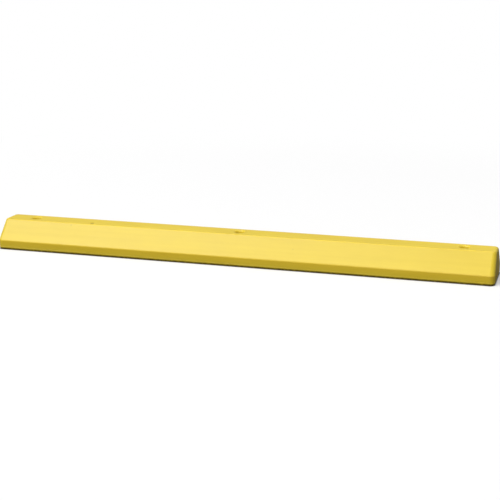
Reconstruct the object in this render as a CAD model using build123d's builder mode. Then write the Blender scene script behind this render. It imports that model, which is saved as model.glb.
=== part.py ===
from build123d import *
import math
import os

# Parking block: a hollow moulded bar that stops a car's wheels at the end of a parking bay.
# Three tapered wells run down from its top, and an expansion anchor stands in each of them.
# Millimetres. The origin is on the ground under the middle of the block, +X runs along the
# length, -Y is the side that faces the wheels and +Z is up.

# Block, outside
length = 1828.8
width = 203.2
height = 104.0
top_width = 85.0
side_height = 34.0
corner_radius = 18.0
end_draft = 2.0
top_edge_radius = 10.0
side_crease_radius = 9.0
side_crease_rings = 7
foot_height = 7.0
foot_tuck = 3.5
foot_crease_radius = 2.0
sole_edge_radius = 1.0

# Block, inside
wall = 6.5
inner_radius_least = 1.0

# Recesses in the underside, which leave a rim, ribs and pads to stand on
recess_depth = 2.5
recess_radius = 12.0
recesses_per_bay = 4
rim_width = 28.0
rib_width = 20.0
pad_length = 90.0

# Anchor wells
well_end_distance = 114.4
well_floor = 12.0
well_draft = 1.3
well_lip_radius = 6.0
well_seat_fillet = 1.5
well_washer_clearance = 2.3
anchor_hole_clearance = 0.8

# Expansion anchors
anchor_reach = 76.2
anchor_foot_gap = 1.0
stud_radius = 4.7625
stud_fit = 0.10
stud_overhang = 4.6
stud_chamfer = 0.8
cone_radius = 6.2
cone_length = 10.0
cone_land = 2.0
sleeve_radius = 6.35
sleeve_grip = 4.0
sleeve_seam = 1.0
sleeve_slit_width = 1.4
sleeve_slit_length = 28.0
sleeve_slits = 3

# Washers and nut
washer_radius = 12.7
washer_thickness = 2.1
washer_clearance = 0.8
washer_edge = 0.25
lock_radius = 8.65
lock_thickness = 2.4
lock_clearance = 0.35
lock_split = 1.6
lock_slant = 25.0
nut_flats = 14.29
nut_height = 8.33
nut_face_ratio = 0.95
nut_face_angle = 30.0
nut_gap = 0.3

# Air hole from moulding, closed by a plug sunk in a dimple
vent_from_well = 236.5
vent_edge_distance = 19.5
vent_dimple_radius = 8.0
vent_dimple_depth = 3.0
vent_hole_radius = 4.5
plug_head_clearance = 0.5
plug_head_thickness = 1.6
plug_shank_clearance = 0.05
plug_tip_length = 3.0
plug_tip_taper = 1.2
plug_dome_radius = 0.6

# Heights on the anchors, from the foot up
foot_z = anchor_foot_gap
washer_z = foot_z + anchor_reach
lock_z = washer_z + washer_thickness
nut_z = lock_z + lock_thickness + nut_gap
stud_top_z = nut_z + nut_height + stud_overhang
cone_base_z = foot_z + cone_land
cone_top_z = cone_base_z + cone_length
sleeve_z = cone_top_z - sleeve_grip

# Places along the block: where each anchor stands and how far it happens to be turned
well_x = length / 2 - well_end_distance
anchors = [("left", -well_x, 10.0), ("middle", 0.0, 38.0), ("right", well_x, 67.0)]
well_spots = [(x, 0) for _, x, _ in anchors]
vent_x = vent_from_well - well_x
vent_y = vent_edge_distance - top_width / 2

# Slopes: the long sides lean in above their bands, and the ends lean in a little with them
slope_run = (width - top_width) / 2
slope_rise = height - side_height
slope_turn = math.atan2(slope_run, slope_rise)
end_slope = math.tan(math.radians(end_draft))

# Well radii, from the washer that has to pass down to the seat
well_seat_radius = washer_radius + well_washer_clearance
well_slope = math.tan(math.radians(well_draft))
well_mouth_radius = well_seat_radius + (height - well_floor) * well_slope
anchor_hole_radius = sleeve_radius + anchor_hole_clearance

# Recess grid: each bay between two wells holds one row
bay_length = well_x - pad_length
recess_length = (bay_length - (recesses_per_bay - 1) * rib_width) / recesses_per_bay
recess_width = width - 2 * rim_width
recess_pitch = recess_length + rib_width
bay_middles = [(-well_x / 2, 0), (well_x / 2, 0)]

os.makedirs("parts", exist_ok=True)


def ring(z, across, end_inset):
    """A level outline of the block, whose corners keep their centres as the ends lean in."""
    with BuildSketch(Plane.XY.offset(z)) as outline:
        RectangleRounded(length - 2 * end_inset, across, corner_radius - end_inset)
    return outline.sketch


def block_outside():
    """The block's outside: upright band, rounded crease, leaning sides and tucked foot."""
    crease_start = side_height - side_crease_radius * math.tan(slope_turn / 2)
    crease = []
    for step in range(side_crease_rings):
        angle = slope_turn * step / (side_crease_rings - 1)
        crease_z = crease_start + side_crease_radius * math.sin(angle)
        crease_inset = side_crease_radius * (1 - math.cos(angle))
        crease.append((crease_z, width - 2 * crease_inset, 0))
    top_inset = (height - crease[-1][0]) * end_slope
    with BuildPart() as form:
        extrude(ring(0, width, 0), amount=crease_start)
        loft([ring(*place) for place in crease])
        loft([ring(*crease[-1]), ring(height, top_width, top_inset)], ruled=True)
        fillet(form.faces().sort_by(Axis.Z)[-1].edges(), top_edge_radius)
        sole = form.faces().sort_by(Axis.Z)[0]
        chamfer(sole.edges(), length=foot_tuck, length2=foot_height, reference=sole)
        foot_creases = form.edges().filter_by_position(Axis.Z, foot_height, foot_height)
        fillet(foot_creases, foot_crease_radius)
        fillet(form.faces().sort_by(Axis.Z)[0].edges(), sole_edge_radius)
    return form.part


def block_inside():
    """The wall's inner face: one wall inside the band, the leaning sides and the top."""
    slant = math.hypot(slope_run, slope_rise)
    crease_z = side_height - wall * (slant - slope_rise) / slope_run
    top_z = height - wall
    top_across = top_width + 2 * wall * (slope_run - slant) / slope_rise
    top_inset = wall + (top_z - crease_z) * end_slope
    with BuildPart() as form:
        extrude(ring(wall, width - 2 * wall, wall), amount=crease_z - wall)
        loft([ring(crease_z, width - 2 * wall, wall), ring(top_z, top_across, top_inset)], ruled=True)
        fillet(form.faces().sort_by(Axis.Z)[-1].edges(), top_edge_radius - wall)
        fillet(form.faces().sort_by(Axis.Z)[0].edges(), inner_radius_least)
    return form.part


def recess_outlines(margin):
    """The outlines of all the underside recesses, larger by a margin all round."""
    with BuildSketch() as outlines:
        with Locations(*bay_middles):
            with GridLocations(recess_pitch, 0, recesses_per_bay, 1):
                RectangleRounded(
                    recess_length + 2 * margin, recess_width + 2 * margin, recess_radius + margin
                )
    return outlines.sketch


def upright(x, turn):
    """A plane through the axis of the anchor at x: first axis outward, second axis up."""
    angle = math.radians(turn)
    outward = Vector(math.cos(angle), math.sin(angle), 0)
    return Plane(origin=(x, 0, 0), x_dir=outward, z_dir=outward.cross(Vector(0, 0, 1)))


def level(x, z, turn):
    """A level plane on the axis of the anchor at x, turned about that axis."""
    angle = math.radians(turn)
    return Plane(origin=(x, 0, z), x_dir=(math.cos(angle), math.sin(angle), 0), z_dir=(0, 0, 1))


def anchor_axis(x):
    return Axis((x, 0, 0), (0, 0, 1))


outer_form = block_outside()
inner_form = block_inside()
recesses = recess_outlines(0)
recess_floors = recess_outlines(wall)

# The space inside the block: the wall's inner face, less the tubes round the wells
with BuildPart() as cavity:
    add(inner_form)
    with BuildSketch(Plane.XY):
        add(recess_floors)
    extrude(amount=wall + recess_depth, mode=Mode.SUBTRACT)
    with Locations(*well_spots):
        Cone(
            bottom_radius=well_seat_radius + wall - well_floor * well_slope,
            top_radius=well_mouth_radius + wall,
            height=height,
            align=(Align.CENTER, Align.CENTER, Align.MIN),
            mode=Mode.SUBTRACT,
        )
    with BuildSketch(Plane.XY.offset(height)):
        with Locations((vent_x, vent_y)):
            Circle(vent_dimple_radius + wall)
    extrude(amount=-(vent_dimple_depth + wall), mode=Mode.SUBTRACT)

# Moulded block: one hollow piece
with BuildPart() as block_shell:
    add(outer_form)
    add(cavity.part, mode=Mode.SUBTRACT)
    with BuildSketch(Plane.XY):
        add(recesses)
    extrude(amount=recess_depth, mode=Mode.SUBTRACT)
    with Locations(*[(x, y, well_floor) for x, y in well_spots]):
        Cone(
            bottom_radius=well_seat_radius,
            top_radius=well_mouth_radius,
            height=height - well_floor,
            align=(Align.CENTER, Align.CENTER, Align.MIN),
            mode=Mode.SUBTRACT,
        )
    mouths = edges().filter_by(GeomType.CIRCLE).group_by(Axis.Z)[-1]
    fillet(mouths, well_lip_radius)
    rings = edges().filter_by(GeomType.CIRCLE).filter_by(lambda ring: ring.is_closed)
    fillet(rings.filter_by_position(Axis.Z, well_floor, well_floor), well_seat_fillet)
    with BuildSketch(Plane.XY):
        with Locations(*well_spots):
            Circle(anchor_hole_radius)
    extrude(amount=well_floor, mode=Mode.SUBTRACT)
    with BuildSketch(Plane.XY.offset(height)):
        with Locations((vent_x, vent_y)):
            Circle(vent_dimple_radius)
    extrude(amount=-vent_dimple_depth, mode=Mode.SUBTRACT)
    with BuildSketch(Plane.XY.offset(height - vent_dimple_depth)):
        with Locations((vent_x, vent_y)):
            Circle(vent_hole_radius)
    extrude(amount=-wall, mode=Mode.SUBTRACT)
block_shell.part.label = "block_shell"
export_step(block_shell.part, "parts/block_shell.step")

# Plug in the air hole: a thin head in the dimple and a shank that tapers at its tip
plug_seat_z = height - vent_dimple_depth
plug_head_radius = vent_dimple_radius - plug_head_clearance
plug_shank_radius = vent_hole_radius - plug_shank_clearance
plug_tip_z = plug_seat_z - wall - plug_tip_length
with BuildPart() as vent_plug:
    with BuildSketch(Plane(origin=(vent_x, vent_y, 0), x_dir=(1, 0, 0), z_dir=(0, -1, 0))):
        with BuildLine():
            Polyline(
                (0, plug_tip_z),
                (plug_shank_radius - plug_tip_taper, plug_tip_z),
                (plug_shank_radius, plug_seat_z - wall),
                (plug_shank_radius, plug_seat_z),
                (plug_head_radius, plug_seat_z),
                (plug_head_radius, plug_seat_z + plug_head_thickness),
                (0, plug_seat_z + plug_head_thickness),
                close=True,
            )
        make_face()
    revolve(axis=Axis((vent_x, vent_y, 0), (0, 0, 1)))
    fillet(edges().sort_by(Axis.Z)[-1], plug_dome_radius)
vent_plug.part.label = "vent_plug"
export_step(vent_plug.part, "parts/vent_plug.step")

for side, x, turn in anchors:
    # Stud: a plain round bar for the threaded shank, with a cone at its foot
    with BuildPart() as stud:
        with BuildSketch(upright(x, turn)):
            with BuildLine():
                Polyline(
                    (0, foot_z),
                    (cone_radius - stud_chamfer, foot_z),
                    (cone_radius, foot_z + stud_chamfer),
                    (cone_radius, cone_base_z),
                    (stud_radius, cone_top_z),
                    (stud_radius, stud_top_z - stud_chamfer),
                    (stud_radius - stud_chamfer, stud_top_z),
                    (0, stud_top_z),
                    close=True,
                )
            make_face()
        revolve(axis=anchor_axis(x))
    stud.part.label = f"{side}_anchor_stud"
    export_step(stud.part, f"parts/{side}_anchor_stud.step")

    # Sleeve: a rolled tube with a seam along one side and slits where the cone spreads it
    cone_slope = (cone_radius - stud_radius) / cone_length
    sleeve_bore = stud_radius + stud_fit
    with BuildPart() as sleeve:
        with BuildSketch(upright(x, turn)):
            with BuildLine():
                Polyline(
                    (sleeve_bore + sleeve_grip * cone_slope, sleeve_z),
                    (sleeve_radius, sleeve_z),
                    (sleeve_radius, washer_z),
                    (sleeve_bore, washer_z),
                    (sleeve_bore, cone_top_z),
                    close=True,
                )
            make_face()
        revolve(axis=anchor_axis(x))
        with BuildSketch(level(x, sleeve_z, turn)):
            with Locations((sleeve_radius, 0)):
                Rectangle(2 * sleeve_radius, sleeve_seam)
        extrude(amount=washer_z - sleeve_z, mode=Mode.SUBTRACT)
        slit_turn = 360 / (sleeve_slits + 1)
        with BuildSketch(level(x, sleeve_z, turn)):
            with PolarLocations(sleeve_radius, sleeve_slits, slit_turn, slit_turn * sleeve_slits):
                Rectangle(2 * sleeve_radius, sleeve_slit_width)
        extrude(amount=sleeve_slit_length, mode=Mode.SUBTRACT)
    sleeve.part.label = f"{side}_expansion_sleeve"
    export_step(sleeve.part, f"parts/{side}_expansion_sleeve.step")

    # Flat washer, lying on the sleeve
    with BuildPart() as washer:
        with BuildSketch(level(x, washer_z, turn)):
            Circle(washer_radius)
            Circle(stud_radius + washer_clearance, mode=Mode.SUBTRACT)
        extrude(amount=washer_thickness)
        chamfer(edges().filter_by(GeomType.CIRCLE), washer_edge)
    washer.part.label = f"{side}_flat_washer"
    export_step(washer.part, f"parts/{side}_flat_washer.step")

    # Lock washer: a ring with a slanted split
    slant_shift = lock_thickness * math.tan(math.radians(lock_slant)) / 2
    split_plane = Plane(origin=(x, 0, lock_z), x_dir=upright(x, turn).z_dir, z_dir=upright(x, turn).x_dir)
    with BuildPart() as lock:
        with BuildSketch(level(x, lock_z, turn)):
            Circle(lock_radius)
            Circle(stud_radius + lock_clearance, mode=Mode.SUBTRACT)
        extrude(amount=lock_thickness)
        with BuildSketch(split_plane):
            with BuildLine():
                Polyline(
                    (-lock_split / 2 - slant_shift, 0),
                    (lock_split / 2 - slant_shift, 0),
                    (lock_split / 2 + slant_shift, lock_thickness),
                    (-lock_split / 2 + slant_shift, lock_thickness),
                    close=True,
                )
            make_face()
        extrude(amount=lock_radius + lock_split, mode=Mode.SUBTRACT)
    lock.part.label = f"{side}_lock_washer"
    export_step(lock.part, f"parts/{side}_lock_washer.step")

    # Hex nut, with its corners turned off at both faces
    nut_corner = nut_flats / 2 / math.cos(math.pi / 6)
    nut_face = nut_face_ratio * nut_flats / 2
    nut_bevel = (nut_corner - nut_face) * math.tan(math.radians(nut_face_angle))
    with BuildPart() as nut:
        with BuildSketch(level(x, nut_z, turn)):
            RegularPolygon(nut_flats / 2, 6, major_radius=False)
            Circle(stud_radius + stud_fit, mode=Mode.SUBTRACT)
        extrude(amount=nut_height)
        with BuildSketch(upright(x, turn)):
            with BuildLine():
                Polyline(
                    (0, nut_z),
                    (nut_face, nut_z),
                    (nut_corner, nut_z + nut_bevel),
                    (nut_corner, nut_z + nut_height - nut_bevel),
                    (nut_face, nut_z + nut_height),
                    (0, nut_z + nut_height),
                    close=True,
                )
            make_face()
        revolve(axis=anchor_axis(x), mode=Mode.INTERSECT)
    nut.part.label = f"{side}_hex_nut"
    export_step(nut.part, f"parts/{side}_hex_nut.step")
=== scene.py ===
# %% [markdown]
# A parking block lies across the end of a parking bay and stops the wheels of a car. This one is
# a hollow bar of yellow polyethylene, moulded in one piece, with three wells through it. An
# expansion anchor stands in each well and holds the block to the ground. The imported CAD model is
# the fixed frame for everything below, so each piece is made straight at its place, in metres,
# and nothing has to be fitted by eye.

import bmesh
import bpy
import math
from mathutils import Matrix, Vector


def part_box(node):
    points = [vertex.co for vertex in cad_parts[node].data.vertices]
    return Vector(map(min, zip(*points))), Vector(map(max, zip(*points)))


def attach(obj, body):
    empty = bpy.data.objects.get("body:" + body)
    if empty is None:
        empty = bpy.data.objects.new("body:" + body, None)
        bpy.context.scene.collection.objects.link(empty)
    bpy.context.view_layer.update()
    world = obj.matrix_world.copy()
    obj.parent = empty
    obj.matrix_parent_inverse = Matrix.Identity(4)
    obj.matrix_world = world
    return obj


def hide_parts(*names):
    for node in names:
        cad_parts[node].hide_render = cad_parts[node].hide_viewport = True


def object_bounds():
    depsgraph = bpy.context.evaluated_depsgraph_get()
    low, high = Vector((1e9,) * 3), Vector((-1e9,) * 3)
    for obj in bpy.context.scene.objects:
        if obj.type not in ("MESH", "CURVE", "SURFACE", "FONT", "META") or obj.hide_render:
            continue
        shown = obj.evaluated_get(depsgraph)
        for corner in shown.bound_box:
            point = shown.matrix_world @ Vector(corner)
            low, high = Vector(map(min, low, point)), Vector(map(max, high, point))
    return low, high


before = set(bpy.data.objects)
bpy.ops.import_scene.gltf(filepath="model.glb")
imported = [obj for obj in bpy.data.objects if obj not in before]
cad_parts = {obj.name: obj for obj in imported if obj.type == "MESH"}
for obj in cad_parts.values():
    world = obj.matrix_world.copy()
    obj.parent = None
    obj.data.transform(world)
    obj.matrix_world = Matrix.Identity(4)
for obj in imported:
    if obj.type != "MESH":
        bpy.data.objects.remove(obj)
cad_low, cad_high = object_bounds()
scene = bpy.context.scene
block_length, block_width, block_height = cad_high - cad_low

# %% [markdown]
# Shapes and finishes are both written as node trees. A tree of forty nodes is hard to read as a
# list of links, so a small class stands for the output of a node: sums on it add Math nodes, and
# one method adds any other node. The same class serves the shader trees and the Geometry Nodes
# trees, because both use the same Math node.


# %% Write node trees as sums
class Wire:
    """The output of a node: sums on it add Math nodes, and node() adds any other node."""

    def __init__(self, tree, socket=None):
        self.tree = tree
        self.socket = socket

    def node(self, kind, settings=None, sockets=None, out=0):
        """Adds a node by its type, its settings, and then the values or links of its sockets.

        A list links several wires to one socket. The setting cases says how many values an
        Index Switch chooses from.
        """
        made = self.tree.nodes.new(kind)
        for name, value in (settings or {}).items():
            if name == "cases":
                for _ in range(value - len(made.index_switch_items)):
                    made.index_switch_items.new()
            else:
                setattr(made, name, value)
        for key, value in (sockets or {}).items():
            for one in value if isinstance(value, list) else [value]:
                if isinstance(one, Wire):
                    self.tree.links.new(one.socket, made.inputs[key])
                else:
                    made.inputs[key].default_value = one
        return Wire(self.tree, made.outputs[out] if made.outputs else None)

    def out(self, name):
        """Another output of the same node."""
        return Wire(self.tree, self.socket.node.outputs[name])

    def maths(self, operation, *values):
        return self.node("ShaderNodeMath", {"operation": operation}, dict(enumerate(values)))

    def __add__(self, other):
        return self.maths("ADD", self, other)

    def __sub__(self, other):
        return self.maths("SUBTRACT", self, other)

    def __rsub__(self, other):
        return self.maths("SUBTRACT", other, self)

    def __mul__(self, other):
        return self.maths("MULTIPLY", self, other)

    def __truediv__(self, other):
        return self.maths("DIVIDE", self, other)

    def __rtruediv__(self, other):
        return self.maths("DIVIDE", other, self)

    def __neg__(self):
        return self.maths("MULTIPLY", self, -1.0)

    __radd__ = __add__
    __rmul__ = __mul__

    def rise(self, low, high):
        """0 below low, 1 above high, and a soft step between them."""
        sockets = {"Value": self, "From Min": low, "From Max": high}
        return self.node("ShaderNodeMapRange", {"interpolation_type": "SMOOTHSTEP"}, sockets)


print("node trees are written through", Wire.__name__)

# %% [markdown]
# A finish is a material: a shader, with numbers and patterns on its sockets. A number that holds
# all over a piece is set on the shader itself. A pattern could be painted on a picture and wrapped
# round the piece, but that takes unwrapping and shows its edges. Noise in the piece's own
# coordinates needs neither and stays in place when the piece moves, so all patterns here use it.


# %% Start a finish
def new_finish(name, constants):
    """A material with these constants on its shader, a wire to add nodes from, and the shader."""
    material = bpy.data.materials.new(name)
    material.use_nodes = True
    shader = material.node_tree.nodes["Principled BSDF"]
    for socket, value in constants.items():
        shader.inputs[socket].default_value = value
    return material, Wire(material.node_tree), shader


def own_place(wire):
    """The coordinates of the piece itself."""
    return wire.node("ShaderNodeTexCoord", out="Object")


def feed(shader, socket, wire):
    wire.tree.links.new(wire.socket, shader.inputs[socket])


print("finishes start with", new_finish.__name__)


# %% Patterns
def stretched(place, scale):
    """Coordinates scaled along each axis; a small scale draws a pattern out that way."""
    return place.node("ShaderNodeMapping", None, {"Vector": place, "Scale": scale})


def noise(place, scale, detail):
    """Noise from 0 to 1, mostly near a half."""
    return place.node("ShaderNodeTexNoise", None, {"Vector": place, "Scale": scale, "Detail": detail})


def mixed(factor, first, second):
    """A colour between two others; a factor past 0 or 1 counts as 0 or 1.

    A Mix node has sockets for each type of value, and its colours are inputs 6 and 7 and output 2.
    """
    return factor.node("ShaderNodeMix", {"data_type": "RGBA"}, {0: factor, 6: first, 7: second}, out=2)


print("patterns:", [maker.__name__ for maker in (stretched, noise, mixed)])

# %% [markdown]
# Polyethylene is coloured all through, so the yellow of the block has no paint edge and no wear to
# bare plastic. What shows on a real one is small: patches where the wall cooled faster, faint
# streaks along its length where the melt flowed, and a fine moulding grain. One flat yellow would
# look like paint on a screen. Three noises, the streaks drawn out along the length, shift the
# colour between a deep and a light yellow by a few percent, which is as much as the real one shows.

# %% Yellow of the block
yellow_deep = (0.78, 0.568, 0.029, 1)
yellow_light = (0.89, 0.672, 0.049, 1)
patch_stretch = (1.0, 2.5, 2.5)
patch_scale = 5.0
streak_stretch = (1.4, 70.0, 70.0)
grain_scale = 900.0
patch_share = 1.1
streak_share = 0.7
grain_share = 0.25
satin = {"IOR": 1.52, "Specular IOR Level": 0.44}

shell_plastic, wire, shader = new_finish("yellow_polyethylene", satin)
place = own_place(wire)
patches = noise(stretched(place, patch_stretch), patch_scale, detail=3.0) - 0.5
streaks = noise(stretched(place, streak_stretch), scale=1.0, detail=3.0) - 0.5
grain = noise(place, grain_scale, detail=3.0) - 0.5
tone = 0.5 + patches * patch_share + streaks * streak_share + grain * grain_share
colour = mixed(tone, yellow_deep, yellow_light)
print("yellow from", yellow_deep[:3], "to", yellow_light[:3])

# %% [markdown]
# The upright band is lighter and warmer just under the crease. Polyethylene is a little translucent,
# so the likely cause is light that enters at the crease, is scattered inside and leaves below it.
# Blender can trace this with subsurface scattering, but slowly, and it would shift every other
# colour too. A warm tint that fades in up the band and stops at the crease gives much the same look.

# %% Glow under the crease
glow_tint = (0.98, 0.64, 0.035, 1)
glow_strength = 0.45
glow_start = 0.006
crease_low = 0.032
crease_high = 0.038
along = place.node("ShaderNodeSeparateXYZ", None, {0: place})
above = along.out("Z")
under_crease = above.rise(glow_start, crease_low) * (1.0 - above.rise(crease_low, crease_high))
colour = mixed(under_crease * glow_strength, colour, glow_tint)
print("glow from", glow_start, "to", crease_low, "m up the band")

# %% [markdown]
# Even a new block shows how it was handled. It was dragged out of a stack, which leaves fine pale
# scuffs along it, grime gathers along the foot that stands on the ground, and there is a smudge
# here and there. The dark band along the foot is partly that grime and partly painted shade: the
# tucked foot lies in shade, and a near black tint paints that shade into its colour. All of these
# could be painted by hand. Here each is a mask from 0 to 1 that lays another tint over the yellow,
# so its place and strength stay numbers that can be changed.

# %% Scuffs
scuff_tint = (0.88, 0.71, 0.12, 1)
scratch_stretch = (14.0, 420.0, 260.0)
scratch_limits = (0.66, 0.74)
handled_scale = 9.0
handled_limits = (0.52, 0.68)
scuff_strength = 0.35
scratches = noise(stretched(place, scratch_stretch), scale=1.0, detail=2.0).rise(*scratch_limits)
scuffs = scratches * noise(place, handled_scale, detail=2.0).rise(*handled_limits)
colour = mixed(scuffs * scuff_strength, colour, scuff_tint)
print("scuffs at a strength of", scuff_strength)

# %% Grime and painted shade along the foot
# The foot's tint is nearly black and strong: it is partly grime and partly painted shade of the tucked
# foot.
grime_and_shade_tint = (0.11, 0.062, 0.026, 1)
grime_and_shade_scale = 90.0
grime_and_shade_limits = (0.10, 0.60)
grime_and_shade_strength = 0.90
grime_and_shade_full = 0.002
grime_and_shade_top = 0.009
end_band = (0.018, 0.008)
side_band = (0.012, 0.006)


def near_edge(distance, half, start, full):
    """0 in the middle of the block; it rises between two distances in from the outer edge."""
    return distance.maths("ABSOLUTE", distance).rise(half - start, half - full)


near_end = near_edge(along, block_length / 2, *end_band)
near_side = near_edge(along.out("Y"), block_width / 2, *side_band)
low_down = 1.0 - above.rise(grime_and_shade_full, grime_and_shade_top)
outer_foot = low_down * wire.maths("MAXIMUM", near_end, near_side)
grime_and_shade = outer_foot * noise(place, grime_and_shade_scale, detail=5.0).rise(*grime_and_shade_limits)
colour = mixed(grime_and_shade * grime_and_shade_strength, colour, grime_and_shade_tint)
print("grime reaches", grime_and_shade_top, "m up the foot")

# %% Smudges
smudge_tint = (0.36, 0.27, 0.06, 1)
smudge_scale = 350.0
smudge_limits = (0.35, 0.65)
smudge_strength = 0.45
smudges = [((-0.637, -0.0484, 0.0970), 0.006), ((0.215, -0.071, 0.0702), 0.004)]


def near(place, middle, radius):
    """1 at a point of the surface, and 0 at a radius from it."""
    sockets = {0: place, 1: middle}
    gap = place.node("ShaderNodeVectorMath", {"operation": "DISTANCE"}, sockets, out="Value")
    return 1.0 - gap.rise(0.0, radius)


blotches = noise(place, smudge_scale, detail=3.0).rise(*smudge_limits)
for middle, radius in smudges:
    colour = mixed(near(place, middle, radius) * blotches * smudge_strength, colour, smudge_tint)
feed(shader, "Base Color", colour)
print(len(smudges), "smudges on the sloping side")

# %% [markdown]
# The moulded skin is satin, a little rougher where it is scuffed or dirty. Its large flat walls
# aren't quite flat, because they sink as they cool, and the mould's sandblasted face leaves a fine
# grain. As geometry the grain would take millions of faces, so both are Bump nodes, which tilt the
# light on a surface without moving it. The grain's bump adds to the normal that the swell leaves.


# %% Gloss and grain of the block
def relief(height, depth, strength, under=None):
    """A Bump node; under is the normal that it adds to."""
    sockets = {"Height": height, "Distance": depth, "Strength": strength}
    if under is not None:
        sockets["Normal"] = under
    return height.node("ShaderNodeBump", None, sockets)


swell_stretch = (2.0, 6.0, 6.0)
swell_scale = 1.6
swell_depth = 0.004
grain_depth = 0.0003
satin_roughness = 0.38
feed(shader, "Roughness", satin_roughness + patches * 0.12 + grain * 0.10 + scuffs * 0.12 + grime_and_shade * 0.2)
swell_height = noise(stretched(place, swell_stretch), swell_scale, detail=1.0)
swell = relief(swell_height, swell_depth, strength=0.25)
feed(shader, "Normal", relief(grain, grain_depth, strength=0.20, under=swell))
print("shell finish:", len(shell_plastic.node_tree.nodes), "nodes")

# %% [markdown]
# Air is blown into the block through a small hole while it is moulded, and a plug of the same
# plastic closes the hole. The plug is pressed in later and its rough face holds dirt, so it looks
# duller and darker than the wall. It could share the block's finish, but then it would vanish, so
# it gets its own: one fine noise mottles its colour, its gloss and its relief together.

# %% Plug plastic
plug_dark = (0.33, 0.24, 0.04, 1)
plug_light = (0.47, 0.35, 0.06, 1)
mottle_scale = 400.0
plug_roughness = 0.45
mottle_depth = 0.0002

plug_plastic, wire, shader = new_finish("plug_polyethylene", {"IOR": 1.52})
mottle = noise(own_place(wire), mottle_scale, detail=3.0)
feed(shader, "Base Color", mixed(mottle, plug_dark, plug_light))
feed(shader, "Roughness", plug_roughness + mottle * 0.2)
feed(shader, "Normal", relief(mottle, mottle_depth, strength=0.3))
print("plug finish:", len(plug_plastic.node_tree.nodes), "nodes")

# %% [markdown]
# Anchor hardware is plain steel with a thin coat of zinc. Fresh zinc is a cool, slightly cloudy
# grey with a trace of straw colour where it was sealed, and each part shows how it was made: the
# sleeve is rolled from strip, the washers are punched, the nut is formed and tapped. One metal for
# all of them would look like one casting. One function makes the family instead, and each piece
# gets its own tint, gloss, size of cloud and direction of streaks.

# %% Zinc plated steel
dull_spot = (0.38, 0.35, 0.29, 1)
spot_limits = (0.58, 0.75)
spot_strength = 0.35
cloud_limits = (0.30, 0.70)
streak_depth = 0.00004


def zinc(name, bright, dull, roughness, cloud_scale, streak_scale):
    """Zinc on steel: clouds between two tints, fine streaks, and dull spots."""
    material, wire, shader = new_finish(name, {"Metallic": 1.0})
    place = own_place(wire)
    clouds = noise(place, cloud_scale, detail=3.0)
    streaks = noise(stretched(place, streak_scale), scale=1.0, detail=2.0)
    spots = noise(place, cloud_scale * 5.0, detail=2.0).rise(*spot_limits)
    colour = mixed((clouds * 0.7 + streaks * 0.3).rise(*cloud_limits), dull, bright)
    feed(shader, "Base Color", mixed(spots * spot_strength, colour, dull_spot))
    feed(shader, "Roughness", roughness + (clouds - 0.5) * 0.18 + spots * 0.15)
    feed(shader, "Normal", relief(streaks, streak_depth, strength=0.25))
    return material


print("zinc is made by", zinc.__name__)

# %% Zinc of each kind of piece
# For each: a bright and a dull tint, the roughness, the clouds' scale and the streaks' stretch.
zinc_looks = {
    "stud_zinc": ((0.70, 0.70, 0.68, 1), (0.52, 0.51, 0.48, 1), 0.34, 260.0, (900.0, 900.0, 120.0)),
    "sleeve_zinc": ((0.66, 0.66, 0.64, 1), (0.50, 0.49, 0.45, 1), 0.40, 180.0, (700.0, 700.0, 40.0)),
    "washer_zinc": ((0.74, 0.74, 0.72, 1), (0.58, 0.57, 0.54, 1), 0.30, 150.0, (300.0, 300.0, 300.0)),
    "lock_zinc": ((0.60, 0.60, 0.59, 1), (0.44, 0.43, 0.41, 1), 0.36, 220.0, (200.0, 200.0, 900.0)),
    "nut_zinc": ((0.72, 0.72, 0.69, 1), (0.54, 0.53, 0.49, 1), 0.32, 200.0, (500.0, 500.0, 200.0)),
}
zincs = {name: zinc(name, *look) for name, look in zinc_looks.items()}
print("zinc finishes:", list(zincs))

# %% [markdown]
# Each anchor has a sleeve, a flat washer, a lock washer and a nut round its stud. They could be
# modelled again here, but the CAD solids of these pieces and of the plug already have the right
# shape, so they stay and only get their finish.

# %% Dress the CAD pieces that stay
finish_of = {
    "vent_plug": plug_plastic,
    "expansion_sleeve": zincs["sleeve_zinc"],
    "flat_washer": zincs["washer_zinc"],
    "lock_washer": zincs["lock_zinc"],
    "hex_nut": zincs["nut_zinc"],
}
dressed = []
for node_name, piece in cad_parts.items():
    for ending, material in finish_of.items():
        if node_name.endswith(ending):
            piece.data.materials.clear()
            piece.data.materials.append(material)
            dressed.append(node_name)
print("dressed", len(dressed), "CAD pieces:", dressed)

# %% [markdown]
# The block and the studs follow rules, so Geometry Nodes grow them from their sizes. A tree is a
# recipe: its inputs are named sizes, its nodes make points and faces, and a modifier runs it on an
# object. These helpers start a tree, end it and run it. The result is kept as a plain mesh, because
# the recipe is needed only once, and a plain mesh moves and exports without it.


# %% Start and end a tree
def grow_tree(name, sizes):
    """An empty Geometry Nodes tree, a wire to add nodes from, and a wire for each named size."""
    tree = bpy.data.node_groups.new(name, "GeometryNodeTree")
    tree.interface.new_socket("Mesh", in_out="OUTPUT", socket_type="NodeSocketGeometry")
    for label, value in sizes.items():
        kind = "NodeSocketInt" if isinstance(value, int) else "NodeSocketFloat"
        tree.interface.new_socket(label, in_out="INPUT", socket_type=kind)
    inlet = Wire(tree).node("NodeGroupInput")
    return tree, Wire(tree), {label: inlet.out(label) for label in sizes}


def close_tree(wire, shapes, weld, material):
    """Joins the shapes, welds their edges, sets the finish and ends the tree."""
    whole = wire.node("GeometryNodeJoinGeometry", None, {0: shapes})
    whole = wire.node("GeometryNodeRealizeInstances", None, {0: whole})
    whole = wire.node("GeometryNodeMergeByDistance", None, {"Geometry": whole, "Distance": weld})
    whole = wire.node("GeometryNodeSetMaterial", None, {"Geometry": whole, "Material": material})
    wire.node("NodeGroupOutput", None, {0: whole})


print("trees start with", grow_tree.__name__, "and end with", close_tree.__name__)


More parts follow.
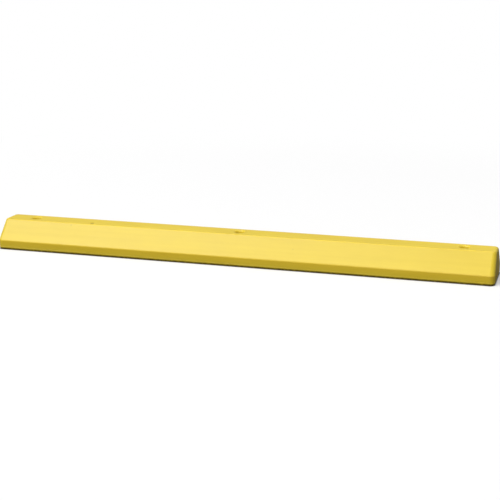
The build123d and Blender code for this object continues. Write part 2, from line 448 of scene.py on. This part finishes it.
# %% Keep a result
def keep_result(piece):
    """Replaces a piece's mesh by what its modifiers give, and removes them."""
    bpy.context.view_layer.update()
    graph = bpy.context.evaluated_depsgraph_get()
    mesh = bpy.data.meshes.new_from_object(piece.evaluated_get(graph))
    piece.modifiers.clear()
    piece.data = mesh
    mesh.name = piece.name


def smoothed(piece, sharp_angle):
    """Turns all faces outwards and shades them smooth up to an angle; returns the open edges."""
    skin = bmesh.new()
    skin.from_mesh(piece.data)
    bmesh.ops.recalc_face_normals(skin, faces=skin.faces)
    skin.to_mesh(piece.data)
    open_edges = sum(not edge.is_manifold for edge in skin.edges)
    skin.free()
    piece.data.shade_smooth()
    piece.data.set_sharp_from_angle(angle=math.radians(sharp_angle))
    even = piece.modifiers.new("even_normals", "WEIGHTED_NORMAL")
    even.keep_sharp = True
    keep_result(piece)
    return open_edges


print("results are kept by", keep_result.__name__, "and", smoothed.__name__)


# %% Run a tree
def grown(name, tree, sizes, sharp_angle):
    """Runs a tree at these sizes and keeps the result as a plain mesh with even normals."""
    piece = bpy.data.objects.new(name, bpy.data.meshes.new(name))
    scene.collection.objects.link(piece)
    form = piece.modifiers.new("form", "NODES")
    form.node_group = tree
    for socket in tree.interface.items_tree:
        if socket.in_out == "INPUT":
            form[socket.identifier] = sizes[socket.name]
    keep_result(piece)
    open_edges = smoothed(piece, sharp_angle)
    mesh = piece.data
    print(name, len(mesh.vertices), "points", len(mesh.polygons), "faces", open_edges, "open edges")
    return piece


print("trees are run by", grown.__name__)

# %% [markdown]
# The block has level creases, upright bands and round edges, which a box with bevels or a smoothed
# cage only comes near to. Cut level at any height, though, its outline is a long rectangle with
# rounded corners, so its skin is a stack of such rings. Two profiles, one of the long side and one
# of the end, say how far out and how high each ring runs. A profile is a few corners with straight
# runs between them, and Fillet Curve rounds each corner by its own radius.


# %% Rounded profiles
def spot(wire, x, y, z=0.0):
    return wire.node("ShaderNodeCombineXYZ", None, {0: x, 1: y, 2: z})


def choose(at, kind, values):
    """One of several values, picked by a whole number."""
    sockets = {0: at, **{n + 1: value for n, value in enumerate(values)}}
    return at.node("GeometryNodeIndexSwitch", {"data_type": kind, "cases": len(values)}, sockets)


def profile(wire, corners, steps):
    """An open curve through corners, each given by how far out, how high, and its rounding."""
    index = wire.node("GeometryNodeInputIndex")
    places = choose(index, "VECTOR", [spot(wire, out, up) for out, up, _ in corners])
    radii = choose(index, "FLOAT", [rounding for _, _, rounding in corners])
    ring = wire.node("GeometryNodeCurvePrimitiveCircle", None, {"Resolution": len(corners)})
    curve = wire.node("GeometryNodeSetPosition", None, {"Geometry": ring, "Position": places})
    curve = wire.node("GeometryNodeSetSplineCyclic", None, {"Geometry": curve, "Cyclic": False})
    sockets = {"Curve": curve, "Count": steps, "Radius": radii}
    return wire.node("GeometryNodeFilletCurve", {"mode": "POLY"}, sockets)


print("profiles come from", profile.__name__)


# %% Rows and columns
def lattice(wire, rows, columns):
    """A grid of points, with the row and the column of each."""
    mesh = wire.node("GeometryNodeMeshGrid", None, {"Vertices X": rows, "Vertices Y": columns})
    index = wire.node("GeometryNodeInputIndex")
    row = wire.maths("FLOOR", (index + 0.5) / columns)
    return mesh, row, index - row * columns


def count_points(wire, curve):
    settings = {"component": "CURVE"}
    return wire.node("GeometryNodeAttributeDomainSize", settings, {0: curve}, out="Point Count")


def sampled(wire, curve, number):
    """How far out and how high a curve's numbered point lies."""
    sockets = {"Geometry": curve, "Value": wire.node("GeometryNodeInputPosition"), "Index": number}
    place = wire.node("GeometryNodeSampleIndex", {"data_type": "FLOAT_VECTOR"}, sockets)
    out = wire.node("ShaderNodeSeparateXYZ", None, {0: place})
    return out, out.out("Y")


def moved(wire, shape, position):
    return wire.node("GeometryNodeSetPosition", None, {"Geometry": shape, "Position": position})


print("grids come from", lattice.__name__)

# %% [markdown]
# Each size of the block is an input of its tree, so it can be changed in one place. The overall
# size and the places of the wells and the air hole come from the frame. The others repeat the CAD
# model's sizes, in metres, because this file reads nothing but the frame. Only the parting line is
# new: a shallow groove round the foot, where the two halves of the mould met.

# %% Sizes of the block
anchors = ("left", "middle", "right")
well_spots = [sum(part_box(f"{side}_anchor_stud"), Vector()) / 2 for side in anchors]
vent_spot = sum(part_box("vent_plug"), Vector()) / 2
block_sizes = {
    "Length": block_length,
    "Width": block_width,
    "Height": block_height,
    "Top Width": 0.085,
    "Side Height": 0.034,
    "Corner Radius": 0.018,
    "End Draft": 0.035,
    "Top Edge": 0.010,
    "Side Crease": 0.009,
    "End Crease": 0.160,
    "Foot Height": 0.007,
    "Foot Tuck": 0.0035,
    "Foot Crease": 0.002,
    "Sole Edge": 0.001,
    "Parting Height": 0.0110,
    "Parting Width": 0.0010,
    "Parting Depth": 0.0004,
    "Well Spacing": (well_spots[2].x - well_spots[0].x) / 2,
    "Well Seat Radius": 0.0150,
    "Well Mouth Radius": 0.01709,
    "Well Floor": 0.012,
    "Well Lip": 0.006,
    "Well Seat Fillet": 0.0015,
    "Anchor Hole Radius": 0.00715,
    "Vent X": vent_spot.x,
    "Vent Y": vent_spot.y,
    "Vent Dimple Radius": 0.008,
    "Vent Dimple Depth": 0.003,
    "Vent Hole Radius": 0.0045,
    "Vent Hole Depth": 0.0135,
    "Recess Length": 0.1625,
    "Recess Width": 0.1472,
    "Recess Pitch": 0.1825,
    "Recess Radius": 0.012,
    "Recess Depth": 0.0025,
    "Recesses": 4,
    "Corner Steps": 10,
}
block_tree, wire, size = grow_tree("block_skin", block_sizes)
print(len(block_sizes), "sizes; wells at", [round(middle.x, 4) for middle in well_spots])

# %% [markdown]
# Both profiles start on the sole, go out to the foot, up past the parting line to the crease, and
# in over the top edge. They have the same corners, so they have equally many points, and one number
# picks the same level in both. The end leans in only by its draft, so its crease is a long shallow
# bend.

# %% Profiles of the side and the end
steps = size["Corner Steps"]
height = size["Height"]
half_width = size["Width"] / 2
half_length = size["Length"] / 2
end_top = half_length - (height - size["Side Height"]) * size["End Draft"]
parting_half = size["Parting Width"] / 2
sole_rim = 0.002


def wall_profile(half, half_top, crease, top_rim):
    """From the sole out, up the wall and in to the flat top."""
    foot = half - size["Foot Tuck"]
    corners = [
        (foot - sole_rim, 0.0, 0.0),
        (foot, 0.0, size["Sole Edge"]),
        (half, size["Foot Height"], size["Foot Crease"]),
        (half, size["Parting Height"] - parting_half, 0.0),
        (half - size["Parting Depth"], size["Parting Height"], 0.0),
        (half, size["Parting Height"] + parting_half, 0.0),
        (half, size["Side Height"], crease),
        (half_top, height, size["Top Edge"]),
        (half_top - top_rim, height, 0.0),
    ]
    return profile(wire, corners, steps)


side_profile = wall_profile(half_width, size["Top Width"] / 2, size["Side Crease"], size["Top Edge"] / 2)
end_profile = wall_profile(half_length, end_top, size["End Crease"], size["Top Edge"])
levels = count_points(wire, side_profile)
print("two profiles:", len(block_tree.nodes), "nodes so far")

# %% [markdown]
# A ring is four quarter arcs with straight runs between them. The grid has one row for each level
# and one column for each point round a ring. From its column each point learns its quarter and its
# angle. Its place is the middle of that quarter's corner, plus the corner's radius at that angle,
# and its height goes over from the end's profile to the side's as the angle turns.

# %% Stack of rings
corner_x = half_length - size["Corner Radius"]
quarter_turn = math.pi / 2
arc_points = steps + 1.0


def ring_sizes(level):
    """Half length, half width and corner radius of a ring, and its heights at the end and the side."""
    along, end_up = sampled(wire, end_profile, level)
    across, side_up = sampled(wire, side_profile, level)
    return along, across, along - corner_x, end_up, side_up


skin, row, column = lattice(wire, levels, 4.0 * arc_points + 1.0)
along, across, radius, end_up, side_up = ring_sizes(row)
quarter = wire.maths("FLOOR", (column + 0.5) / arc_points)
diagonal = (quarter + 0.5) * quarter_turn
angle = (quarter + (column - quarter * arc_points) / steps) * quarter_turn
end_share = wire.maths("COSINE", angle)
side_share = wire.maths("SINE", angle)
ring_x = wire.maths("SIGN", wire.maths("COSINE", diagonal)) * corner_x + radius * end_share
ring_y = wire.maths("SIGN", wire.maths("SINE", diagonal)) * (across - radius) + radius * side_share
ring_z = end_up + (side_up - end_up) * side_share * side_share
skin = moved(wire, skin, spot(wire, ring_x, ring_y, ring_z))
print("stack of rings:", len(block_tree.nodes), "nodes so far")

# %% [markdown]
# Each well is a tapered tube moulded through the block, with a soft lip at its mouth, a floor that
# the washer seats on and a hole in the floor for the anchor. Boolean cuts would leave thin slivers
# round the lips. Instead one outline is turned about the well's axis like clay on a wheel, and the
# wall is set on three points in a row. The top and the sole get holes that fit its edges.


# %% Turned shapes and copies
def turned(wire, curve, sides, cut=None):
    """An outline turned about the Z axis; cut may lower the radius by height and angle."""
    mesh, row, column = lattice(wire, count_points(wire, curve), sides + 1)
    radius, height = sampled(wire, curve, row)
    angle = column * math.tau / sides
    if cut:
        radius = wire.maths("MINIMUM", radius, cut(height, angle))
    around = spot(wire, radius * wire.maths("COSINE", angle), radius * wire.maths("SINE", angle), height)
    return moved(wire, mesh, around)


def row_of(wire, count, start, step):
    """Points in a row along the block."""
    sockets = {"Count": count, "Start Location": spot(wire, start, 0.0), "Offset": spot(wire, step, 0.0)}
    return wire.node("GeometryNodeMeshLine", None, sockets)


def at_each(wire, points, shape):
    """A copy of a shape on each point, made real."""
    copies = wire.node("GeometryNodeInstanceOnPoints", None, {"Points": points, "Instance": shape})
    return wire.node("GeometryNodeRealizeInstances", None, {0: copies})


print("wells are made by", turned.__name__, "and", at_each.__name__)

# %% Wells
well_sides = 72
well_steps = 8
lip_reach = 1.4
lip = size["Well Lip"]
mouth = size["Well Mouth Radius"]
mouth_rim = mouth + lip * lip_reach
anchor_hole = size["Anchor Hole Radius"]
well_corners = [
    (mouth_rim, height, 0.0),
    (mouth, height, lip),
    (size["Well Seat Radius"], size["Well Floor"], size["Well Seat Fillet"]),
    (anchor_hole, size["Well Floor"], 0.0),
    (anchor_hole, 0.0, 0.0),
]
well_wall = turned(wire, profile(wire, well_corners, well_steps), well_sides)
spacing = size["Well Spacing"]
well_points = row_of(wire, len(well_spots), -spacing, spacing)
wells = at_each(wire, well_points, well_wall)
print(len(well_spots), "wells:", len(block_tree.nodes), "nodes so far")

# %% [markdown]
# The air hole lies about a quarter of a metre in from the left well, in a shallow dimple that keeps
# its plug below the top. A cut would do here too, but the dimple's edge is rounded like a well's
# lip, so the hole is turned in the same way, with a closed bottom. There is only one, so it is
# shifted to its place instead of set on a point.


# %% Air hole
def shifted(wire, shape, place):
    return wire.node("GeometryNodeTransform", None, {"Geometry": shape, "Translation": place})


vent_sides = 48
vent_steps = 4
vent_edge = 0.0006
vent_corner = 0.0004
dimple = size["Vent Dimple Radius"]
vent_rim = dimple + 2 * vent_edge
vent_hole = size["Vent Hole Radius"]
dimple_floor = height - size["Vent Dimple Depth"]
hole_floor = height - size["Vent Hole Depth"]
vent_corners = [
    (vent_rim, height, 0.0),
    (dimple, height, vent_edge),
    (dimple, dimple_floor, vent_corner),
    (vent_hole, dimple_floor, 0.0),
    (vent_hole, hole_floor, 0.0),
    (0.0, hole_floor, 0.0),
]
vent_place = spot(wire, size["Vent X"], size["Vent Y"])
vent = shifted(wire, turned(wire, profile(wire, vent_corners, vent_steps), vent_sides), vent_place)
print("air hole at", [round(value, 4) for value in vent_spot[:2]])

# %% [markdown]
# The flat top is what the topmost ring encloses, less the mouths of the wells and of the air hole.
# Fill Curve does just this: it fills the outer loop and leaves the loops inside it open. The loops
# have the same points as the edges that they meet, so a weld at the end joins them without a gap.


# %% Flat top
def circle(radius, sides):
    return wire.node("GeometryNodeCurvePrimitiveCircle", None, {"Resolution": sides, "Radius": radius})


def rectangle(length, width, radius, steps):
    sockets = {"Width": length, "Height": width}
    plain = wire.node("GeometryNodeCurvePrimitiveQuadrilateral", None, sockets)
    sockets = {"Curve": plain, "Count": steps, "Radius": radius}
    return wire.node("GeometryNodeFilletCurve", {"mode": "POLY"}, sockets)


def filled(wire, curves):
    """A flat face inside the outer curve, open inside the others."""
    joined = wire.node("GeometryNodeJoinGeometry", None, {0: curves})
    return wire.node("GeometryNodeFillCurve", {"mode": "NGONS"}, {"Curve": joined})


along, across, radius, _, _ = ring_sizes(levels - 1.0)
top_edge = rectangle(along * 2, across * 2, radius, steps)
well_mouths = at_each(wire, well_points, circle(mouth_rim, well_sides))
vent_mouth = shifted(wire, circle(vent_rim, vent_sides), vent_place)
top = filled(wire, [top_edge, well_mouths, vent_mouth])
top = shifted(wire, top, spot(wire, 0.0, 0.0, height))
print("flat top:", len(block_tree.nodes), "nodes so far")

# %% [markdown]
# A long hollow moulding would rock on uneven ground if its whole sole lay on it, so shallow recesses
# leave a rim, ribs and a pad under each well to stand on. They could be inset face by face, but they
# repeat, one row in each of the two bays between the wells. Copies of one outline on a row of
# points, and of that row in each bay, keep their number and pitch as inputs. The outlines are left
# open in the sole, and filled and pushed up they close the recesses.

# %% Underside
recess_steps = 8
bays = 2
pitch = size["Recess Pitch"]
recess = rectangle(size["Recess Length"], size["Recess Width"], size["Recess Radius"], recess_steps)
first_recess = -spacing / 2 - pitch * (size["Recesses"] - 1) / 2
one_bay = row_of(wire, size["Recesses"], first_recess, pitch)
recesses = at_each(wire, at_each(wire, row_of(wire, bays, 0.0, spacing), one_bay), recess)
push_up = {"Offset": spot(wire, 0.0, 0.0, size["Recess Depth"]), "Individual": False}
cups = wire.node("GeometryNodeExtrudeMesh", None, {"Mesh": filled(wire, [recesses]), **push_up})

along, across, radius, _, _ = ring_sizes(0)
sole_edge = rectangle(along * 2, across * 2, radius, steps)
anchor_holes = at_each(wire, well_points, circle(anchor_hole, well_sides))
sole = filled(wire, [sole_edge, recesses, anchor_holes])
print("underside:", len(block_tree.nodes), "nodes so far")

# %% [markdown]
# All patches of the skin meet at shared edges, so one weld makes a closed block of them. The mesh
# is shaded smooth except at sharp edges, and weighted normals let the large flat faces stay flat
# beside their small roundings. It then stands for the plain CAD shell and rides on the same body.

# %% Grow the block
weld_distance = 1e-5
block_sharp_angle = 35.0
close_tree(wire, [skin, wells, vent, top, cups, sole], weld_distance, shell_plastic)
block = grown("moulded_block", block_tree, block_sizes, block_sharp_angle)
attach(block, "block")
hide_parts("block_shell")
print("block box", [[round(value, 4) for value in block.bound_box[corner]] for corner in (0, 6)])

# %% [markdown]
# The stud of each anchor has a cone at its foot, which spreads the sleeve, and is threaded where the
# nut runs on it. The CAD stud is a plain bar at the thread's outer diameter, and this piece replaces
# it. A screw modifier could wind the thread, but its ends would need closing by hand. Here two
# outlines are turned, the plain lower part and a finely divided upper part, and the second is cut
# into as it turns.

# %% Sizes of a stud
stud_low, stud_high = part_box("left_anchor_stud")
stud_sizes = {
    "Place X": 0.0,
    "Foot": stud_low.z,
    "Top": stud_high.z,
    "Radius": 0.0047625,
    "Chamfer": 0.0008,
    "Cone Radius": (stud_high.x - stud_low.x) / 2,
    "Cone Base": 0.003,
    "Cone Top": 0.013,
    "Thread Start": 0.076,
    "Pitch": 0.0015875,
    "Thread Depth": 0.00090,
    "Row Height": 0.00016,
}
stud_tree, wire, size = grow_tree("threaded_stud", stud_sizes)
print("stud from", round(stud_low.z, 4), "to", round(stud_high.z, 4), "m above the ground")

# %% Outlines of a stud
outline_steps = 4
foot_edge = 0.0003
cone_base_edge = 0.0004
cone_top_bend = 0.002
shank = size["Radius"]
chamfer = size["Chamfer"]
cone = size["Cone Radius"]
plain_corners = [
    (0.0, size["Foot"], 0.0),
    (cone - chamfer, size["Foot"], foot_edge),
    (cone, size["Foot"] + chamfer, foot_edge),
    (cone, size["Cone Base"], cone_base_edge),
    (shank, size["Cone Top"], cone_top_bend),
    (shank, size["Thread Start"], 0.0),
]
threaded_corners = [
    (shank, size["Thread Start"], 0.0),
    (shank, size["Top"] - chamfer, 0.0),
    (shank - chamfer, size["Top"], 0.0),
    (0.0, size["Top"], 0.0),
]
plain_part = profile(wire, plain_corners, outline_steps)
sockets = {"Curve": profile(wire, threaded_corners, 1), "Length": size["Row Height"]}
threaded_part = wire.node("GeometryNodeResampleCurve", {"mode": "LENGTH"}, sockets)
print("outlines:", len(stud_tree.nodes), "nodes so far")

# %% [markdown]
# A thread is a groove that climbs by one pitch in each turn, so its depth depends on the height
# less the angle's share of a pitch. Ping-pong turns that into flanks that rise and fall, a clamp
# leaves the crest and the root flat, and a soft start lets the groove run out of the plain shank.

# %% Thread
crest_share = 0.12
flank_share = 0.66
stud_sides = 40


def thread_groove(height, angle):
    """The radius that the thread leaves at this height and angle."""
    turn = height / size["Pitch"] - angle / math.tau
    slope = wire.maths("PINGPONG", turn, 0.5) * 2.0
    flank = wire.maths("MAXIMUM", (slope - crest_share) / flank_share, 0.0)
    groove = wire.maths("MINIMUM", flank, 1.0)
    run_in = height.rise(size["Thread Start"], size["Thread Start"] + size["Pitch"])
    return shank - groove * size["Thread Depth"] * run_in


stud_place = spot(wire, size["Place X"], 0.0)
stud_shapes = [
    shifted(wire, turned(wire, part, stud_sides, cut), stud_place)
    for part, cut in ((plain_part, None), (threaded_part, thread_groove))
]
close_tree(wire, stud_shapes, weld_distance, zincs["stud_zinc"])
print("stud:", len(stud_tree.nodes), "nodes")

# %% [markdown]
# One tree serves all three anchors. A stud moves along its own sleeve, so each is grown as a piece
# of its own, at its well, and rides on its own body.

# %% Grow the studs
stud_sharp_angle = 40.0
for side, centre in zip(anchors, well_spots):
    stud = grown(f"{side}_threaded_stud", stud_tree, {**stud_sizes, "Place X": centre.x}, stud_sharp_angle)
    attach(stud, f"{side}_stud")
    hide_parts(f"{side}_anchor_stud")

# %% [markdown]
# The stage is a wide pale floor. To the camera it is white, with the block's soft shadow on it, as
# a product picture has. A real white floor would also light the block's sides from below as
# strongly as the lamps do from above, so to bounced light this one is dark. The Light Path node
# tells the two apart. Reflections see a share of the white, enough for the metal to show it.

# %% Floor
floor_half = 60.0
floor_corners = [(-1, -1), (1, -1), (1, 1), (-1, 1)]
floor_points = [(x * floor_half, y * floor_half, 0.0) for x, y in floor_corners]
floor_mesh = bpy.data.meshes.new("floor")
floor_mesh.from_pydata(floor_points, [], [(0, 1, 2, 3)])
floor = bpy.data.objects.new("floor", floor_mesh)
scene.collection.objects.link(floor)
print("floor", 2 * floor_half, "m square")


# %% White, matt and glowing
def seen(wire, mirrored):
    """1 for what the camera sees, also through clear things, and a share of it for reflections."""
    path = wire.node("ShaderNodeLightPath", out="Is Camera Ray")
    straight_on = wire.maths("MAXIMUM", path, path.out("Is Transmission Ray"))
    return wire.maths("MAXIMUM", straight_on, path.out("Is Glossy Ray") * mirrored)


def matt(wire, tint):
    return wire.node("ShaderNodeBsdfDiffuse", None, {"Color": tint})


def glowing(wire, strength):
    return wire.node("ShaderNodeEmission", None, {"Color": (1, 1, 1, 1), "Strength": strength})


print("the stage is made of", matt.__name__, "and", glowing.__name__, "parts, and shown as", seen.__name__)

# %% Look of the floor
floor_lit = (0.70, 0.70, 0.70, 1)
floor_glow = 0.24
shadow_reach = 1.8
white_from = 3.2
floor_paint = bpy.data.materials.new("pale_floor")
floor_paint.use_nodes = True
floor_paint.node_tree.nodes.clear()
wire = Wire(floor_paint.node_tree)
place = own_place(wire)
away = wire.node("ShaderNodeVectorMath", {"operation": "LENGTH"}, {0: place}, out="Value")
far_off = away.rise(shadow_reach, white_from)
near_look = wire.node("ShaderNodeAddShader", None, {0: matt(wire, floor_lit), 1: glowing(wire, floor_glow)})
look = wire.node("ShaderNodeMixShader", None, {0: far_off, 1: near_look, 2: glowing(wire, 1.0)})
print("the floor is plain white from", white_from, "m out")

# %% [markdown]
# The block's foot tucks in, and the narrow gap under its edge gets hardly any light, so the block
# stands on a crisp dark line. The soft shadow of large lamps is too faint for that, so a thin dark
# line on the floor stands for it. It follows the foot's outline, a rectangle with round corners. How
# far a point lies past the straight runs, less the corner's radius, is its distance from the foot.

# %% Contact line
contact_tint = (0.05, 0.04, 0.03, 1)
contact_strength = 0.95
contact_full = 0.001
contact_end = 0.008
corner = block_sizes["Corner Radius"]
foot_corner = corner - block_sizes["Foot Tuck"]


def past(distance, straight):
    """How far a point lies past the end of a straight run, on either side."""
    return distance.maths("MAXIMUM", distance.maths("ABSOLUTE", distance) - straight, 0.0)


along = wire.node("ShaderNodeSeparateXYZ", None, {0: place})
past_end = past(along, block_length / 2 - corner)
past_side = past(along.out("Y"), block_width / 2 - corner)
from_foot = wire.maths("SQRT", past_end * past_end + past_side * past_side) - foot_corner
contact = 1.0 - from_foot.rise(contact_full, contact_end)
sockets = {0: contact * contact_strength, 1: look, 2: matt(wire, contact_tint)}
look = wire.node("ShaderNodeMixShader", None, sockets)
print("contact line", contact_end, "m wide")

# %% [markdown]
# The floor now has two forms: the look above, and a dark matt one for bounced light. Two floors in
# one place would show in patches, so one Mix Shader holds both, and the kind of ray picks one.

# %% Floor as the camera sees it
floor_bounce = (0.03, 0.03, 0.03, 1)
floor_mirrored = 0.10
sockets = {0: seen(wire, floor_mirrored), 1: matt(wire, floor_bounce), 2: look}
floor_shader = wire.node("ShaderNodeMixShader", None, sockets)
wire.node("ShaderNodeOutputMaterial", None, {"Surface": floor_shader})
floor_mesh.materials.append(floor_paint)
print("floor finish:", len(floor_paint.node_tree.nodes), "nodes")

# %% [markdown]
# Behind everything is an even backdrop, which in Blender is the world. The camera sees it white,
# and it lights the block only dimly, to fill the shadows. As on the floor, reflections see a share.

# %% Backdrop
sky = (0.14, 0.14, 0.14, 1)
white = (1.0, 1.0, 1.0, 1)
backdrop_mirrored = 0.21
world = bpy.data.worlds.new("studio")
scene.world = world
world.use_nodes = True
wire = Wire(world.node_tree)
feed(world.node_tree.nodes["Background"], "Color", mixed(seen(wire, backdrop_mirrored), sky, white))
print("sky light", sky[:3])

# %% [markdown]
# Three softboxes light the block. The key stands high in front, to the left, so that the sloping
# side faces halfway between it and the camera and shows a soft sheen, while the right end falls
# into shade. A weaker one in front fills the upright side, and one overhead lights the flat top.
# Lamps near a long block would light its ends unequally, so these are large and far away, and their
# power grows with the square of the distance to make up for it.


# %% Light
def softbox(name, toward, distance, side, level):
    """A square lamp in a direction from the block; level is what a white card facing it shows."""
    lamp = bpy.data.lights.new(name, "AREA")
    lamp.shape = "SQUARE"
    lamp.size = side
    lamp.energy = level * (math.pi * distance) ** 2
    stand = bpy.data.objects.new(name, lamp)
    direction = Vector(toward).normalized()
    stand.location = direction * distance
    stand.rotation_euler = direction.to_track_quat("Z", "Y").to_euler()
    scene.collection.objects.link(stand)
    return stand


lamps = [
    softbox("key_softbox", (-0.45, -0.366, 0.82), distance=60.0, side=40.0, level=0.70),
    softbox("fill_softbox", (0.12, -0.85, 0.50), distance=30.0, side=20.0, level=0.335),
    softbox("top_softbox", (0.0, 0.25, 0.97), distance=30.0, side=30.0, level=0.42),
]
print("lamps:", [lamp.name for lamp in lamps])

# %% [markdown]
# The camera stands where the photograph was taken from: slightly above the block, to the right of
# its middle, with a long lens. The Standard view shows colours as they are written.

# %% Camera
camera_place = Vector((1.2339, -3.9985, 1.0762))
camera_target = Vector((0.0381, 0.0, 0.0388))
camera = bpy.data.objects.new("camera", bpy.data.cameras.new("camera"))
camera.data.sensor_width = 36.0
camera.data.lens = 86.25
camera.location = camera_place
camera.rotation_euler = (camera_target - camera_place).to_track_quat("-Z", "Y").to_euler()
scene.collection.objects.link(camera)
scene.camera = camera
scene.view_settings.view_transform = "Standard"
print("camera", round((camera_place - camera_target).length, 3), "m away")
